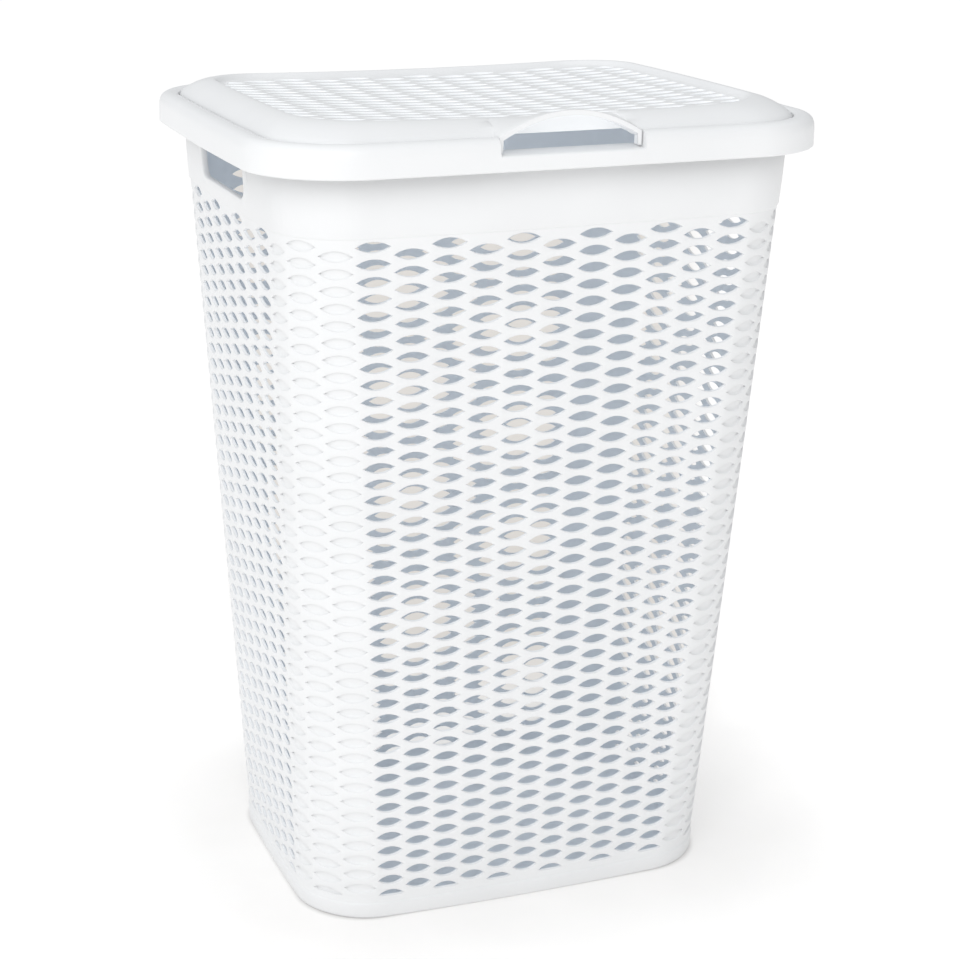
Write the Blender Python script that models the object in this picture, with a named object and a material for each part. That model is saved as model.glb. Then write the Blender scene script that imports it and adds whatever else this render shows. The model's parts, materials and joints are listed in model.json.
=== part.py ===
"""Laundry hamper with a hinged lid, as separate moulded pieces.

Metres, +Z up.  The origin is the middle of the base, on the floor.  The front, with the finger notch
and the lid's hood, faces -Y; the long side runs along X.  The basket's slots are left to the fine
surface: these walls are plain, with every edge, hole and seat at its real size.
"""
import math

import bmesh
import bpy
from mathutils import Matrix, Vector

# ---- driving dimensions ---------------------------------------------------------------------------
BASE_HALF_X, BASE_HALF_Y, BASE_RADIUS = 0.1565, 0.1124, 0.0485    # basket outline on the floor
BASE_SHIFT_Y = 0.0045                 # the floor's middle lies this much behind the rim's
TOP_HALF_X, TOP_HALF_Y, TOP_RADIUS = 0.1810, 0.1573, 0.0459       # basket outline at the skirt's edge
BOW_X, BOW_Y = 0.0035, 0.0023         # how far each face bulges at its middle
SIDE_BULGE = 0.0025                   # the short sides bulge this much more below the collar
FRONT_BULGE = 0.0040                  # and so does the front
BULGE_START_Z, BULGE_FULL_Z = 0.5515, 0.5470    # where that begins under the skirt, and where it is full

SKIRT_Z = 0.5497                      # lower edge of the collar's skirt
RIM_Z = 0.5700                        # the collar's top where the lid's gap runs
OVERHANG = 0.0184                     # skirt's face out from the basket's face
GAP_INSET = 0.0142                    # from the skirt's face in to the lid's gap

WALL = 0.0025                         # basket wall
FLOOR_THICKNESS = 0.0030
FLOOR_CORNER_Z = 0.0070               # the inner corner between floor and wall is cut from here down
FOOT_EDGE = 0.0012                    # chamfer round the base
STEP = 0.0010                         # how far the slotted zone stands back
BASE_BAND_Z = 0.0118                  # top of the plain base band
SLOT_ZONE_Z = 0.5077                  # top of the slotted zone
BODY_TOP_Z = 0.5578

HAND_HOLE_WIDTH = 0.112
HAND_HOLE_BOTTOM_Z = 0.5200
HAND_HOLE_TOP_Z = 0.5470
HAND_HOLE_RADIUS = 0.010
HAND_HOLE_CUT = 0.0300                # the cutter reaches this far either side of the wall

COLLAR_WALL = 0.0025
LEDGE_Z = 0.5605                      # the lid rests here, and the notch's floor is level with it
LEDGE_INSET = 0.0240                  # inner edge of the ledge
CHANNEL_OUTER, CHANNEL_INNER = 0.0175, 0.0214   # groove that takes the basket's top edge
CHANNEL_LIP_Z = 0.5515                # lower edge of the groove's lips
COLLAR_RIB = 0.0152, 0.0120           # outer face of the rib that carries the groove, at its foot and above
COLLAR_TOP = ((0.0, 0.5638), (0.0007, 0.5668), (0.0024, 0.5693), (0.0050, 0.5708), (0.0080, 0.5712),
              (0.0115, 0.5708))       # the collar's rounded top, as (inset, z)
HOLLOW_ROOF = ((0.0120, 0.5685), (0.0070, 0.5690), (0.0038, 0.5672), (COLLAR_WALL, 0.5640))
NOTCH_HALF = 0.0500
NOTCH_FALL = 0.0006                   # the notch's floor falls this much towards its outer edge
NOTCH_ROUNDING = (0.0, 0.0008), (0.0003, 0.0003)    # its outer edge, as (inset, drop)
NOTCH_INSETS = 0.0010, 0.0028, 0.0052, 0.0080, 0.0115
NOTCH_ROOF_INSETS = 0.0120, 0.0100, 0.0070, 0.0038    # of the shallow hollow under the notch
NOTCH_SIDE_WALL, NOTCH_BLEND = 0.0030, 0.0005       # the collar's end beside the notch; its draft
BODY_CLEARANCE = 0.0003               # between the basket's top edge and the groove's root

LID_GAP = 0.0012                      # between collar and lid
LID_WALL = 0.0022
LID_LIFT = 0.0003                     # clearance where the lid rests on the ledge
CREST_HALF_X, CREST_HALF_Y, CREST_RADIUS = 0.1630, 0.1340, 0.0420
CREST_Z = 0.5785                      # crest of the border at mid length
CREST_RISE = 0.0030                   # how much higher it is at the two ends
PANEL_SINK = 0.0035                   # panel below the crest
PANEL_SAG = 0.0028                    # the panel's middle is this much lower again
PANEL_RINGS = 0.975, 0.66, 0.33       # the panel's rings, as shares of the crest's outline
BORDER_EDGE = 0.0008                  # rounding where the lid's edge turns up into its border
BORDER_CURVE = 0.8                    # below 1, the border rises faster at first and is flatter at the crest

HOOD_HALF = 0.0492                    # finger hood, just clear of the notch's sides
HOOD_INSET = 0.0060                   # hood's lip in from the skirt's face
HOOD_END_Z, HOOD_APEX_Z = 0.5715, 0.5870
HOOD_LIP = 0.0040                     # height of the lip's front face
HOOD_LEG = 0.0024                     # width of the legs at the hood's two ends
HOOD_DRAFT = 0.0004                   # over which the hood turns into a leg, and a leg into the border
LEG_LIFT = 0.0012                     # the legs end this much above the notch's floor
HOOD_WALL_INSET, HOOD_WALL_Z = 0.0220, 0.5705   # wall that hangs under the hood, and its lower edge
HOOD_ROOF_FALL = 0.0006               # the hood's underside falls this much from lip to wall
HOOD_WALL_ROOT_Z = 0.5735             # where that wall's inner face meets the underside
HOOD_COLUMNS = 0.036, 0.024, 0.012    # x of the further points along the hood

HINGE_X = 0.1050                      # the two hinges stand at +-HINGE_X on the back
AXIS_INSET, AXIS_Z = 0.0085, 0.5668   # hinge axis, in from the skirt's face
PIN_RADIUS, PIN_HALF = 0.0015, 0.0140
BORE_RADIUS = 0.0019
KNUCKLE_RADIUS, KNUCKLE_HALF = 0.0034, 0.0068
SEAT_HALF, SEAT_FLOOR_Z = 0.0085, 0.5612
SEAT_INSETS = 0.0160, 0.0042          # the seat reaches from the lid's edge to behind the knuckle
BLOCK_HALF = 0.0150
BLOCK_SECTION = ((0.0132, 0.5561), (0.0132, 0.5694), (0.0060, 0.5699), (0.0030, 0.5676),
                 (0.0014, 0.5641), (0.0014, 0.5561))   # block round each seat, as (inset, z)
ARM_UNDER, ARM_OVER = 0.0016, 0.0014  # the knuckle's arm below and above the axis
ARM_HALF, ARM_END = 0.0070, 0.0010    # its half width, and how far short of the axis it stops
ARM_OVERLAP = 0.0015                  # how far the arm reaches into the lid's edge
CUT_EXTRA = 0.0020                    # cutters reach this much past what they cut

CORNER_STEPS = 7
FLAT_FRACTIONS = (-1.0, -0.66, -0.33, 0.0, 0.33, 0.66, 1.0)

RIM_HALF_X, RIM_HALF_Y = TOP_HALF_X + OVERHANG, TOP_HALF_Y + OVERHANG
RIM_RADIUS = TOP_RADIUS + OVERHANG
AXIS_Y = RIM_HALF_Y + BOW_Y * (1 - (HINGE_X / RIM_HALF_X) ** 2) - AXIS_INSET


# ---- outlines -------------------------------------------------------------------------------------
def outline(half_x, half_y, radius, front=FLAT_FRACTIONS, bow_x=BOW_X, bow_front=BOW_Y):
    """Points round a bowed rounded rectangle from the front's left end, with their inward normals.

    front gives the points on the front's flat, as fractions of its half length.
    """
    flat_x, flat_y = half_x - radius, half_y - radius
    flats = (
        [(Vector((f * flat_x, -half_y)), Vector((0, 1))) for f in front],
        [(Vector((half_x, f * flat_y)), Vector((-1, 0))) for f in FLAT_FRACTIONS],
        [(Vector((-f * flat_x, half_y)), Vector((0, -1))) for f in FLAT_FRACTIONS],
        [(Vector((-half_x, -f * flat_y)), Vector((1, 0))) for f in FLAT_FRACTIONS],
    )
    corners = ((1, -1), (1, 1), (-1, 1), (-1, -1))
    columns = []
    for number, flat in enumerate(flats):
        columns += flat
        sign_x, sign_y = corners[number]
        centre = Vector((sign_x * flat_x, sign_y * flat_y))
        for step in range(1, CORNER_STEPS):
            angle = math.radians(90 * (number - 1 + step / CORNER_STEPS))
            outward = Vector((math.cos(angle), math.sin(angle)))
            columns.append((centre + outward * radius, -outward))
    return [(bowed(point, half_x, half_y, bow_x, bow_front), normal) for point, normal in columns]


def bowed(point, half_x, half_y, bow_x, bow_front):
    """The outline's faces bulge: most at the middle of each face, nothing at its ends."""
    along_x = 1 - (point.y / half_y) ** 2
    along_y = 1 - (point.x / half_x) ** 2
    bow_y = bow_front if point.y < 0 else BOW_Y
    return Vector((point.x * (1 + bow_x / half_x * along_x), point.y * (1 + bow_y / half_y * along_y)))


def front_bow(z):
    """Bulge of the front: the collar's own where it holds the basket, more below it."""
    share = (BULGE_START_Z - z) / (BULGE_START_Z - BULGE_FULL_Z)
    return BOW_Y + FRONT_BULGE * min(1.0, max(0.0, share))


def side_bow(z):
    """Bulge of the short sides: the collar's own where it holds the basket, more below it."""
    if z > BULGE_FULL_Z:
        return BOW_X + SIDE_BULGE * max(0.0, (BULGE_START_Z - z) / (BULGE_START_Z - BULGE_FULL_Z))
    return BOW_X + SIDE_BULGE * z / BULGE_FULL_Z


def body_outline(z):
    """The basket's outline at height z: it tapers evenly from the skirt's edge to the floor."""
    share = z / SKIRT_Z
    columns = outline(
        BASE_HALF_X + (TOP_HALF_X - BASE_HALF_X) * share,
        BASE_HALF_Y + (TOP_HALF_Y - BASE_HALF_Y) * share,
        BASE_RADIUS + (TOP_RADIUS - BASE_RADIUS) * share,
        bow_x=side_bow(z),
        bow_front=front_bow(z),
    )
    shift = Vector((0, BASE_SHIFT_Y * max(0.0, 1 - share)))
    return [(point + shift, normal) for point, normal in columns]


def rim_outline(front):
    """The skirt's outline, with points at the given fractions of the front's half length."""
    return outline(RIM_HALF_X, RIM_HALF_Y, RIM_RADIUS, front=front)


def front_fractions(extra_x):
    """The usual points on the rim's front, and those that lie at the given x."""
    return sorted({*FLAT_FRACTIONS, *(x / (RIM_HALF_X - RIM_RADIUS) for x in extra_x)})


def inset(column, distance, z):
    """The point that lies the given distance in from an outline's column, at height z."""
    point, normal = column
    flat = point + normal * distance
    return Vector((flat.x, flat.y, z))


# ---- meshes and objects ---------------------------------------------------------------------------
def material(name, colour, roughness):
    made = bpy.data.materials.new(name)
    made.use_nodes = True
    shader = made.node_tree.nodes["Principled BSDF"]
    shader.inputs["Base Color"].default_value = (*colour, 1)
    shader.inputs["Roughness"].default_value = roughness
    shader.inputs["Metallic"].default_value = 0
    return made


def add_object(name, mesh_data, finish):
    mesh = bpy.data.meshes.new(name)
    bmesh.ops.recalc_face_normals(mesh_data, faces=mesh_data.faces)
    mesh_data.to_mesh(mesh)
    mesh_data.free()
    obj = bpy.data.objects.new(name, mesh)
    bpy.context.scene.collection.objects.link(obj)
    if finish:
        mesh.materials.append(finish)
    return obj


def skin(mesh_data, rings, closed):
    """Joins neighbouring rings of equal length with quads; closed joins the last to the first."""
    count = len(rings[0])
    pairs = list(zip(rings, rings[1:]))
    if closed:
        pairs.append((rings[-1], rings[0]))
    for lower, upper in pairs:
        for number in range(count):
            after = (number + 1) % count
            mesh_data.faces.new((lower[number], lower[after], upper[after], upper[number]))


def vertex_ring(mesh_data, points):
    return [mesh_data.verts.new(point) for point in points]


def fan(mesh_data, ring, centre):
    """Closes a ring with triangles that meet at a point."""
    tip = mesh_data.verts.new(centre)
    for number, vertex in enumerate(ring):
        mesh_data.faces.new((vertex, ring[(number + 1) % len(ring)], tip))


def box(name, low, high, finish=None):
    mesh_data = bmesh.new()
    bmesh.ops.create_cube(mesh_data, size=1)
    size = Vector(high) - Vector(low)
    middle = (Vector(high) + Vector(low)) / 2
    bmesh.ops.transform(mesh_data, verts=mesh_data.verts,
                        matrix=Matrix.Translation(middle) @ Matrix.Diagonal((*size, 1)))
    return add_object(name, mesh_data, finish)


def prism_along_x(name, section, low_x, high_x):
    """An outline of (y, z) points stretched along X."""
    mesh_data = bmesh.new()
    rings = [vertex_ring(mesh_data, [(x, y, z) for y, z in section]) for x in (low_x, high_x)]
    skin(mesh_data, rings, closed=False)
    for ring in rings:
        mesh_data.faces.new(ring)
    return add_object(name, mesh_data, None)


def rod_along_x(name, centre, radius, half_length, finish=None, sides=16):
    mesh_data = bmesh.new()
    bmesh.ops.create_cone(mesh_data, cap_ends=True, segments=sides, radius1=radius, radius2=radius,
                          depth=2 * half_length)
    bmesh.ops.rotate(mesh_data, verts=mesh_data.verts, matrix=Matrix.Rotation(math.pi / 2, 3, "Y"))
    rod = add_object(name, mesh_data, finish)
    rod.location = centre
    return rod


def combine(target, tool, operation):
    """Adds or cuts a tool; the tool stays in the file as a hidden guide."""
    tool.hide_render = True
    tool.display_type = "WIRE"
    change = target.modifiers.new(f"{operation.lower()} {tool.name}", "BOOLEAN")
    change.operation = operation
    change.solver = "EXACT"
    change.object = tool


# ---- basket ---------------------------------------------------------------------------------------
def basket_body(finish):
    """A tapered shell with a floor: out and up the outside, over the top edge, down the inside."""
    outside = (
        (0.0, FOOT_EDGE), (FOOT_EDGE, 0.0), (BASE_BAND_Z, 0.0), (BASE_BAND_Z + STEP, STEP),
        (SLOT_ZONE_Z - STEP, STEP), (SLOT_ZONE_Z, 0.0), (BULGE_FULL_Z, 0.0), (BULGE_START_Z, 0.0),
        (BODY_TOP_Z, 0.0),
    )
    inside = (
        (BODY_TOP_Z, WALL), (BULGE_START_Z, WALL), (BULGE_FULL_Z, WALL),
        (FLOOR_CORNER_Z, WALL + STEP), (FLOOR_THICKNESS, WALL + STEP + FLOOR_CORNER_Z - FLOOR_THICKNESS),
    )
    mesh_data = bmesh.new()
    rings = []
    for z, distance in outside + inside:
        points = [inset(column, distance, z) for column in body_outline(z)]
        rings.append(vertex_ring(mesh_data, points))
    skin(mesh_data, rings, closed=False)
    mesh_data.faces.new(rings[0])
    mesh_data.faces.new(rings[-1])
    body = add_object("basket_body", mesh_data, finish)
    for name, sign in (("left", -1), ("right", 1)):
        combine(body, hand_hole_cutter(f"cut_hand_hole_{name}", sign), "DIFFERENCE")
    return body


def hand_hole_cutter(name, sign):
    """A prism along X with rounded lower corners, through one short side."""
    half, radius, steps = HAND_HOLE_WIDTH / 2, HAND_HOLE_RADIUS, 4
    profile = [(half, HAND_HOLE_TOP_Z), (-half, HAND_HOLE_TOP_Z)]
    for side, start in ((-1, 180), (1, 270)):
        for step in range(steps + 1):
            angle = math.radians(start + 90 * step / steps)
            profile.append((side * (half - radius) + radius * math.cos(angle),
                            HAND_HOLE_BOTTOM_Z + radius + radius * math.sin(angle)))
    near, far = sign * (TOP_HALF_X - HAND_HOLE_CUT), sign * (TOP_HALF_X + HAND_HOLE_CUT)
    return prism_along_x(name, profile, near, far)


# ---- collar ---------------------------------------------------------------------------------------
def collar_profile(top_is_low, hollow_is_low):
    """The collar's cross-section, as (inset, z) points in order round it.

    Inside the notch the top drops to the ledge's level, and the hollow under it drops as well.
    """
    low, root = LEDGE_Z, BODY_TOP_Z + BODY_CLEARANCE
    rib_foot, rib = COLLAR_RIB
    top = (*COLLAR_TOP, (GAP_INSET, RIM_Z))
    if top_is_low:
        top = (*((u, low - NOTCH_FALL - drop) for u, drop in NOTCH_ROUNDING),
               *((u, low - NOTCH_FALL * (1 - u / GAP_INSET)) for u in NOTCH_INSETS))
    hollow = ((rib, root), *HOLLOW_ROOF)
    if hollow_is_low:
        roof = root - NOTCH_FALL
        hollow = (*((u, roof) for u in NOTCH_ROOF_INSETS), (COLLAR_WALL, roof - NOTCH_FALL))
    channel = ((GAP_INSET, low), (LEDGE_INSET, low), (LEDGE_INSET, CHANNEL_LIP_Z),
               (CHANNEL_INNER, CHANNEL_LIP_Z), (CHANNEL_INNER, root), (CHANNEL_OUTER, root),
               (CHANNEL_OUTER, CHANNEL_LIP_Z), (rib_foot, CHANNEL_LIP_Z), (rib_foot, root))
    return ((0.0, SKIRT_Z), *top, *channel, *hollow, (COLLAR_WALL, SKIRT_Z))


def rim_collar(finish):
    """The cross-section swept round the rim; it changes within NOTCH_BLEND at the notch's sides."""
    hollow_end = NOTCH_HALF + NOTCH_SIDE_WALL
    stations = (NOTCH_HALF, NOTCH_HALF + NOTCH_BLEND, hollow_end, hollow_end + NOTCH_BLEND)
    columns = rim_outline(front_fractions([sign * x for x in stations for sign in (-1, 1)]))
    profiles = []
    for point, normal in columns:
        on_front = normal.y > 0.99
        across = abs(point.x) if on_front else RIM_HALF_X
        profiles.append(collar_profile(across < NOTCH_HALF + NOTCH_BLEND / 2,
                                       across < hollow_end + NOTCH_BLEND / 2))
    mesh_data = bmesh.new()
    rings = []
    for number in range(len(profiles[0])):
        points = [inset(column, *profile[number]) for column, profile in zip(columns, profiles)]
        rings.append(vertex_ring(mesh_data, points))
    skin(mesh_data, rings, closed=True)
    collar = add_object("rim_collar", mesh_data, finish)
    for name, sign in (("left", -1), ("right", 1)):
        add_hinge_seat(collar, name, sign * HINGE_X)
    return collar


def add_hinge_seat(collar, name, x):
    """A block in the collar's hollow, with an open seat for the knuckle and a bore for the pin."""
    outer = AXIS_Y + AXIS_INSET
    block = prism_along_x(f"guide_block_{name}", [(outer - u, z) for u, z in BLOCK_SECTION],
                          x - BLOCK_HALF, x + BLOCK_HALF)
    seat = box(f"cut_seat_{name}", (x - SEAT_HALF, outer - SEAT_INSETS[0], SEAT_FLOOR_Z),
               (x + SEAT_HALF, outer - SEAT_INSETS[1], RIM_Z + CUT_EXTRA))
    bore = rod_along_x(f"cut_bore_{name}", (x, AXIS_Y, AXIS_Z), BORE_RADIUS, BLOCK_HALF + CUT_EXTRA)
    combine(collar, block, "UNION")
    combine(collar, seat, "DIFFERENCE")
    combine(collar, bore, "DIFFERENCE")


# ---- lid ------------------------------------------------------------------------------------------
def crest_z(x):
    """Height of the border's crest: the lid sags along its length."""
    return CREST_Z + CREST_RISE * (x / CREST_HALF_X) ** 2


def panel_z(x, y):
    """Height of the sunken panel: it hangs a little towards its middle."""
    sag = (1 - (x / CREST_HALF_X) ** 2) * (1 - (y / CREST_HALF_Y) ** 2)
    return crest_z(x) - PANEL_SINK - PANEL_SAG * sag


def hood_z(x):
    """Top of the hood's lip: an arch over the notch."""
    return HOOD_END_Z + (HOOD_APEX_Z - HOOD_END_Z) * (1 - (x / HOOD_HALF) ** 2)


def lid_profile(column, crest):
    """Cross-section of the plain border, from the skirt's lower edge up and in to the crest."""
    start = GAP_INSET + LID_GAP
    foot = LEDGE_Z + LID_LIFT
    rise = crest.z - RIM_Z
    edge = inset(column, start, RIM_Z)
    outer = [inset(column, start, foot), inset(column, start, RIM_Z - BORDER_EDGE)]
    inner = [inset(column, start + LID_WALL, foot), inset(column, start + LID_WALL, RIM_Z - LID_WALL)]
    for share in (0.10, 0.35, 0.65, 1.0):
        flat = edge.lerp(crest, share)
        lift = rise * math.sin(share * math.pi / 2) ** BORDER_CURVE
        outer.append(Vector((flat.x, flat.y, RIM_Z + lift)))
        inner.append(Vector((flat.x, flat.y, RIM_Z + lift - LID_WALL)))
    inner[2] = inset(column, start + LID_WALL + BORDER_EDGE, RIM_Z - 2 * BORDER_EDGE)
    return outer, inner


def hood_profile(column, crest, leg):
    """Cross-section of the finger hood; its two ends turn down into the notch as legs."""
    top = hood_z(column[0].x)
    front = inset(column, HOOD_INSET, top)
    lip_foot = LEDGE_Z + LEG_LIFT if leg else top - HOOD_LIP
    outer = [inset(column, HOOD_INSET, lip_foot)]
    outer += [front.lerp(crest, share) for share in (0.0, 0.15, 0.40, 0.70, 1.0)]
    inner = [
        inset(column, HOOD_INSET + LID_WALL, lip_foot),
        inset(column, HOOD_WALL_INSET, top - HOOD_LIP - HOOD_ROOF_FALL),
        inset(column, HOOD_WALL_INSET, HOOD_WALL_Z),
        inset(column, HOOD_WALL_INSET + LID_WALL, HOOD_WALL_Z),
        inset(column, HOOD_WALL_INSET + LID_WALL, HOOD_WALL_ROOT_Z),
        Vector((crest.x, crest.y, crest.z - LID_WALL)),
    ]
    return outer, inner


def lid(finish):
    """Border, hood and sunken panel as one shell; the panel closes on a point in its middle."""
    leg_inside = HOOD_HALF - HOOD_LEG
    stations = (HOOD_HALF + HOOD_DRAFT, HOOD_HALF, leg_inside, leg_inside - HOOD_DRAFT, *HOOD_COLUMNS)
    front = front_fractions([sign * x for x in stations for sign in (-1, 1)])
    columns = rim_outline(front)
    crests = outline(CREST_HALF_X, CREST_HALF_Y, CREST_RADIUS, front=front)
    outers, inners, crest_points = [], [], []
    for column, (spot, _) in zip(columns, crests):
        crest = Vector((spot.x, spot.y, crest_z(spot.x)))
        crest_points.append(crest)
        across = abs(column[0].x) if column[1].y > 0.99 else RIM_HALF_X
        if across < HOOD_HALF + HOOD_DRAFT / 2:
            outer, inner = hood_profile(column, crest, leg=across > leg_inside - HOOD_DRAFT / 2)
        else:
            outer, inner = lid_profile(column, crest)
        outers.append(outer)
        inners.append(inner)
    mesh_data = bmesh.new()
    outer_rings = [vertex_ring(mesh_data, points) for points in zip(*outers)]
    inner_rings = [vertex_ring(mesh_data, points) for points in zip(*inners)]
    for thickness, rings in ((0.0, outer_rings), (LID_WALL, inner_rings)):
        for share in PANEL_RINGS:
            points = []
            for crest in crest_points:
                x, y = crest.x * share, crest.y * share
                points.append((x, y, panel_z(x, y) - thickness))
            rings.append(vertex_ring(mesh_data, points))
        skin(mesh_data, rings, closed=False)
        fan(mesh_data, rings[-1], (0, 0, panel_z(0, 0) - thickness))
    skin(mesh_data, [outer_rings[0], inner_rings[0]], closed=False)
    made = add_object("lid", mesh_data, finish)
    for name, sign in (("left", -1), ("right", 1)):
        add_knuckle(made, name, sign * HINGE_X)
    return made


def add_knuckle(target, name, x):
    """An eye that the hinge pin passes through, on a short arm from the lid's back edge."""
    centre = (x, AXIS_Y, AXIS_Z)
    skirt_y = AXIS_Y + AXIS_INSET - GAP_INSET - LID_GAP
    arm = box(f"guide_arm_{name}", (x - ARM_HALF, skirt_y - ARM_OVERLAP, AXIS_Z - ARM_UNDER),
              (x + ARM_HALF, AXIS_Y - ARM_END, AXIS_Z + ARM_OVER))
    eye = rod_along_x(f"guide_eye_{name}", centre, KNUCKLE_RADIUS, KNUCKLE_HALF)
    bore = rod_along_x(f"cut_eye_{name}", centre, BORE_RADIUS, KNUCKLE_HALF + CUT_EXTRA)
    combine(target, arm, "UNION")
    combine(target, eye, "UNION")
    combine(target, bore, "DIFFERENCE")


# ---- the whole hamper -----------------------------------------------------------------------------
def clear_scene():
    for obj in list(bpy.data.objects):
        bpy.data.objects.remove(obj, do_unlink=True)


def smooth(obj):
    obj.data.shade_smooth()
    obj.data.set_sharp_from_angle(angle=math.radians(35))


def main():
    clear_scene()
    white = material("white_plastic", (0.86, 0.87, 0.88), 0.38)
    lid_white = material("lid_plastic", (0.87, 0.88, 0.89), 0.35)
    collar_white = material("collar_plastic", (0.87, 0.88, 0.89), 0.36)
    pin_white = material("pin_plastic", (0.82, 0.83, 0.84), 0.40)
    pieces = [basket_body(white), rim_collar(collar_white), lid(lid_white)]
    for name, sign in (("left", -1), ("right", 1)):
        centre = (sign * HINGE_X, AXIS_Y, AXIS_Z)
        pieces.append(rod_along_x(f"hinge_pin_{name}", centre, PIN_RADIUS, PIN_HALF, pin_white, sides=12))
    hamper = bpy.data.objects.new("laundry_hamper", None)
    bpy.context.scene.collection.objects.link(hamper)
    for piece in pieces:
        smooth(piece)
        piece.parent = hamper


main()
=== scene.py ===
"""Looks of the laundry hamper: pierced walls, rim, slotted lid, plastics, floor, light and camera."""
import json
import math

import bmesh
import bpy
import numpy as np
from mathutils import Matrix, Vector
from mathutils.geometry import delaunay_2d_cdt

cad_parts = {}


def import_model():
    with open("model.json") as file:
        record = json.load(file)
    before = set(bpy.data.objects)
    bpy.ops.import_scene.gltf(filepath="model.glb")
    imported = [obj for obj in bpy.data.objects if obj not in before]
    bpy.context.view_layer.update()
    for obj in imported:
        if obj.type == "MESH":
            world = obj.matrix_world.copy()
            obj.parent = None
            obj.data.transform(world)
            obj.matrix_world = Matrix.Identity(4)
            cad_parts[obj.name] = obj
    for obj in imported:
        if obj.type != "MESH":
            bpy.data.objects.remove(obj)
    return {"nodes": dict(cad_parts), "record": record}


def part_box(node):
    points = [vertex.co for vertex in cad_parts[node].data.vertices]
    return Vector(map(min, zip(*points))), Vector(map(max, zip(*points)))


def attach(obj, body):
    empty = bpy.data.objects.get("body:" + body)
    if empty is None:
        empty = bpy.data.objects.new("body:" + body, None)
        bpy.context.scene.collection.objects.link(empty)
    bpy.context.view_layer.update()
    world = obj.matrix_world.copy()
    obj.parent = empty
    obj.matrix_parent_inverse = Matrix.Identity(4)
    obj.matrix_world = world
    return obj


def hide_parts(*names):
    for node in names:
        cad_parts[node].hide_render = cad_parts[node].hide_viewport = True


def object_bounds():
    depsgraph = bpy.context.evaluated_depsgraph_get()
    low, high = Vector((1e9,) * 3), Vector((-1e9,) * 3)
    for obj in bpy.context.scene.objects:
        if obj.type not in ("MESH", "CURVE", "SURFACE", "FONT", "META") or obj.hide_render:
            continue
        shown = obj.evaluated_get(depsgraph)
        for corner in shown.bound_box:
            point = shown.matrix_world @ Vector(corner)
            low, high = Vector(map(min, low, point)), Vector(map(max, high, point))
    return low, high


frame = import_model()
CAD_LOW, CAD_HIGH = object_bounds()
RIM_LOW, RIM_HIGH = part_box("rim_collar")
BODY_TOP_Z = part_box("basket_body")[1].z
LID_TOP_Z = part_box("lid")[1].z
HINGE = frame["record"]["behaviour"]["joints"][0]

# ---- shape, in metres -----------------------------------------------------------------------------
SKIRT_Z = RIM_LOW.z                   # lower edge of the rim's skirt
RIM_Z = SKIRT_Z + 0.0203              # rim's top beside the lid
OVERHANG = 0.0184
GAP_INSET = 0.0142
BOW_X, BOW_Y = 0.0035, 0.0023
RIM_HALF_X, RIM_HALF_Y = RIM_HIGH.x - BOW_X, RIM_HIGH.y - BOW_Y
TOP_HALF_X, TOP_HALF_Y, TOP_RADIUS = RIM_HALF_X - OVERHANG, RIM_HALF_Y - OVERHANG, 0.0459
BASE_HALF_X, BASE_HALF_Y, BASE_RADIUS = 0.1565, 0.1124, 0.0485
BASE_SHIFT_Y = 0.0045                 # the floor's middle lies this much behind the rim's
SIDE_BULGE, FRONT_BULGE = 0.0025, 0.0040
BULGE_START_Z, BULGE_FULL_Z = SKIRT_Z + 0.0018, SKIRT_Z - 0.0027
RIM_RADIUS = TOP_RADIUS + OVERHANG

WALL = 0.0024
STEP = 0.0010
LATTICE_TOP_Z, ROW = 0.5059, 0.0118184    # about the first row's middle; the distance between rows
ROW_DRIFT = 6.3e-6                    # rows crowd a little towards the top and spread towards the base
ROWS = 42
LATTICE_START, LATTICE_END = -0.40, 41.50
FRONT_PITCH = (0.0256, 0.0206)        # column pitch at the first row and at the last
SIDE_PITCH = (0.0288, 0.0179)
COLUMNS = 48
SLOT_TIP, SLOT_RISE = 0.468, 0.31     # half a slot, in columns and in rows
SLOT_STEPS = 6
DIMPLE = 0.0018

HOLE_HALF, HOLE_LOW_Z, HOLE_HIGH_Z, HOLE_RADIUS, HOLE_TOP_RADIUS = 0.056, 0.5200, 0.5470, 0.010, 0.004
HOLE_CUT = 0.03                       # the cutter reaches this far either side of the wall
HOLE_FRAME = ((0.0078, 0.0012), (0.0074, 0.0001), (0.0064, -0.0003), (0.0050, -0.0006),
              (0.0014, -0.0006), (0.0005, -0.0004), (0.0, 0.0002), (0.0, 0.0034), (0.0005, 0.0040),
              (0.0015, 0.0040), (0.0020, 0.0034), (0.0020, 0.0012))    # as (offset outwards, depth)

LEDGE_Z = RIM_Z - 0.0095
CREST_HALF_X, CREST_HALF_Y, CREST_RADIUS = 0.1630, 0.1340, 0.0420
CREST_Z, CREST_RISE = 0.5785, 0.0030
PANEL_SINK, PANEL_SAG = 0.0035, 0.0028
NOTCH_HALF, NOTCH_WALL, NOTCH_BLEND = 0.0500, 0.0026, 0.0004
HOOD_HALF = 0.0492
HOOD_INSET, HOOD_LIP = 0.0060, 0.0042
HOOD_END_Z, HOOD_APEX_Z = 0.5715, LID_TOP_Z
HOOD_LEG, HOOD_DRAFT, LEG_LIFT = 0.0024, 0.0003, 0.0012
HOOD_COLUMNS = 0.042, 0.036, 0.030, 0.024, 0.018, 0.012, 0.006

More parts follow.
